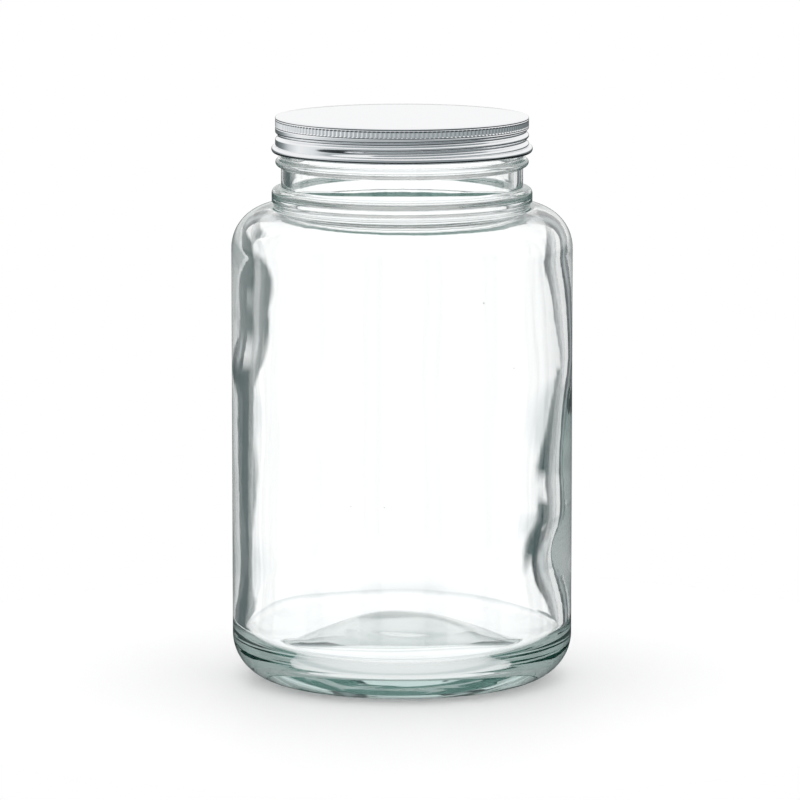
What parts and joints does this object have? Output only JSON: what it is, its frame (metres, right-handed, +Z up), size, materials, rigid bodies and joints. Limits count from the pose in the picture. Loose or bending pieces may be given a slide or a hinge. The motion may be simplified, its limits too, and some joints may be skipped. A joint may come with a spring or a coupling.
{
  "type": "glass storage jar with screw lid",
  "caption": "Large clear glass jar with a rounded shoulder and base, a threaded neck, and a one-piece screw-on aluminium lid with a foam liner.",
  "frame": {"origin": "where the jar's upright axis meets the surface it stands on", "axes": "+Z up along the axis of the jar and the lid; -Y faces the viewer; +X to the viewer's right"},
  "size_m": [0.152, 0.152, 0.252],
  "materials": {
    "clear_glass": "clear, polished, with a faint green tint",
    "satin_aluminium": "satin, rolled sheet",
    "white_foam": "matt expanded polyethylene foam"
  },
  "bodies": {
    "jar": {"glass_jar": "clear_glass"},
    "liner": {"lid_liner": "white_foam"},
    "lid": {"lid_shell": "satin_aluminium"}
  },
  "joints": [
    {"name": "lid_rise", "type": "slide", "parent": "jar", "child": "liner", "axis": [0, 0, 1], "range_m": [0, 0.0191]},
    {"name": "lid_turn", "type": "hinge", "parent": "liner", "child": "lid", "pos_m": [0, 0, 0.244], "axis": [0, 0, 1], "range_deg": [0, 1800]}
  ],
  "couplings": [
    {"joint": "lid_rise", "follows": "lid_turn", "m_per_rad": 0.00060479}
  ]
}
